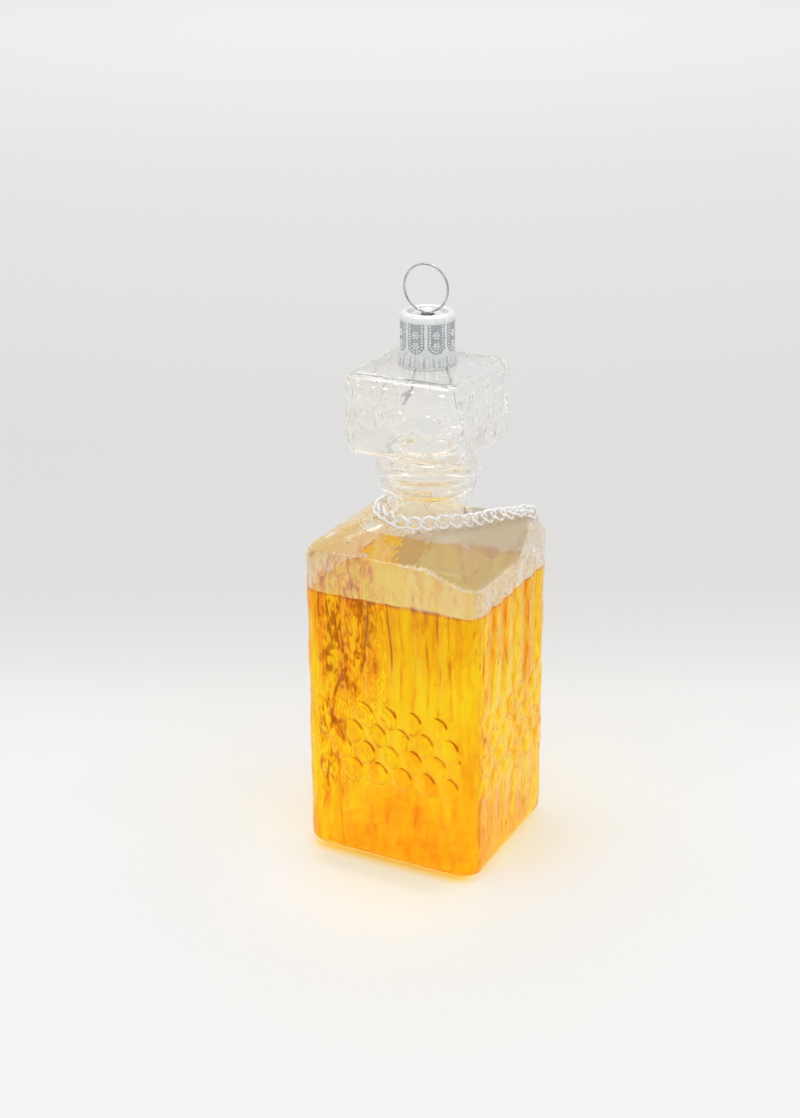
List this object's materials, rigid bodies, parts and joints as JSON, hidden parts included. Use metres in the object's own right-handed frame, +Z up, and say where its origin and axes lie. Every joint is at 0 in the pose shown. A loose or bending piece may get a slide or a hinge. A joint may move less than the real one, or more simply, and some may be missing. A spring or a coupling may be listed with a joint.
{
  "type": "hanging glass decanter ornament",
  "caption": "Hanging ornament of blown clear glass shaped like a square stoppered decanter, amber film inside, with a stamped metal cap, a sprung wire hanger and a chain round the neck.",
  "frame": {"origin": "centre of the flat foot's underside, on the neck's axis", "axes": "+Z up along the neck's axis to the hanging ring, +X to the right and -Y towards the viewer of the wide front face"},
  "size_m": [0.0448, 0.0444, 0.1384],
  "materials": {
    "clear_glass": "clear, fire-polished, with pressed relief",
    "amber_lacquer": "translucent amber lacquer, brushed thin and slightly streaky",
    "silver_cap": "stamped thin sheet, satin silver",
    "steel_wire": "bright drawn spring wire",
    "silver_chain": "bright silver plating"
  },
  "bodies": {
    "glass": {"glass_shell": "clear_glass", "amber_lacquer": "amber_lacquer"},
    "cap": {"ornament_cap": "silver_cap"},
    "hanger": {"hanger_wire": "steel_wire"},
    "chain": {"chain_link_01": "silver_chain", "chain_link_02": "silver_chain", "chain_link_03": "silver_chain", "chain_link_04": "silver_chain", "chain_link_05": "silver_chain", "chain_link_06": "silver_chain", "chain_link_07": "silver_chain", "chain_link_08": "silver_chain", "chain_link_09": "silver_chain", "chain_link_10": "silver_chain", "chain_link_11": "silver_chain", "chain_link_12": "silver_chain", "chain_link_13": "silver_chain", "chain_link_14": "silver_chain", "chain_link_15": "silver_chain", "chain_link_16": "silver_chain", "chain_link_17": "silver_chain", "chain_link_18": "silver_chain", "chain_link_19": "silver_chain", "chain_link_20": "silver_chain", "chain_link_21": "silver_chain", "chain_link_22": "silver_chain", "chain_link_23": "silver_chain", "chain_link_24": "silver_chain", "chain_link_25": "silver_chain", "chain_link_26": "silver_chain", "chain_link_27": "silver_chain", "chain_link_28": "silver_chain", "chain_link_29": "silver_chain", "chain_link_30": "silver_chain", "chain_link_31": "silver_chain", "chain_link_32": "silver_chain", "chain_link_33": "silver_chain", "chain_link_34": "silver_chain", "chain_link_35": "silver_chain", "chain_link_36": "silver_chain", "chain_link_37": "silver_chain"}
  },
  "joints": [
    {"name": "cap_lift", "type": "slide", "parent": "glass", "child": "cap", "axis": [0, 0, 1], "range_m": [0, 0.0215], "deforming": ["hanger_wire"]},
    {"name": "ring_swivel", "type": "hinge", "parent": "cap", "child": "hanger", "pos_m": [0, 0, 0.1271], "axis": [0, 0, 1], "continuous": true},
    {"name": "chain_lift", "type": "slide", "parent": "glass", "child": "chain", "axis": [0, 0, 1], "range_m": [0, 0.0028]}
  ]
}
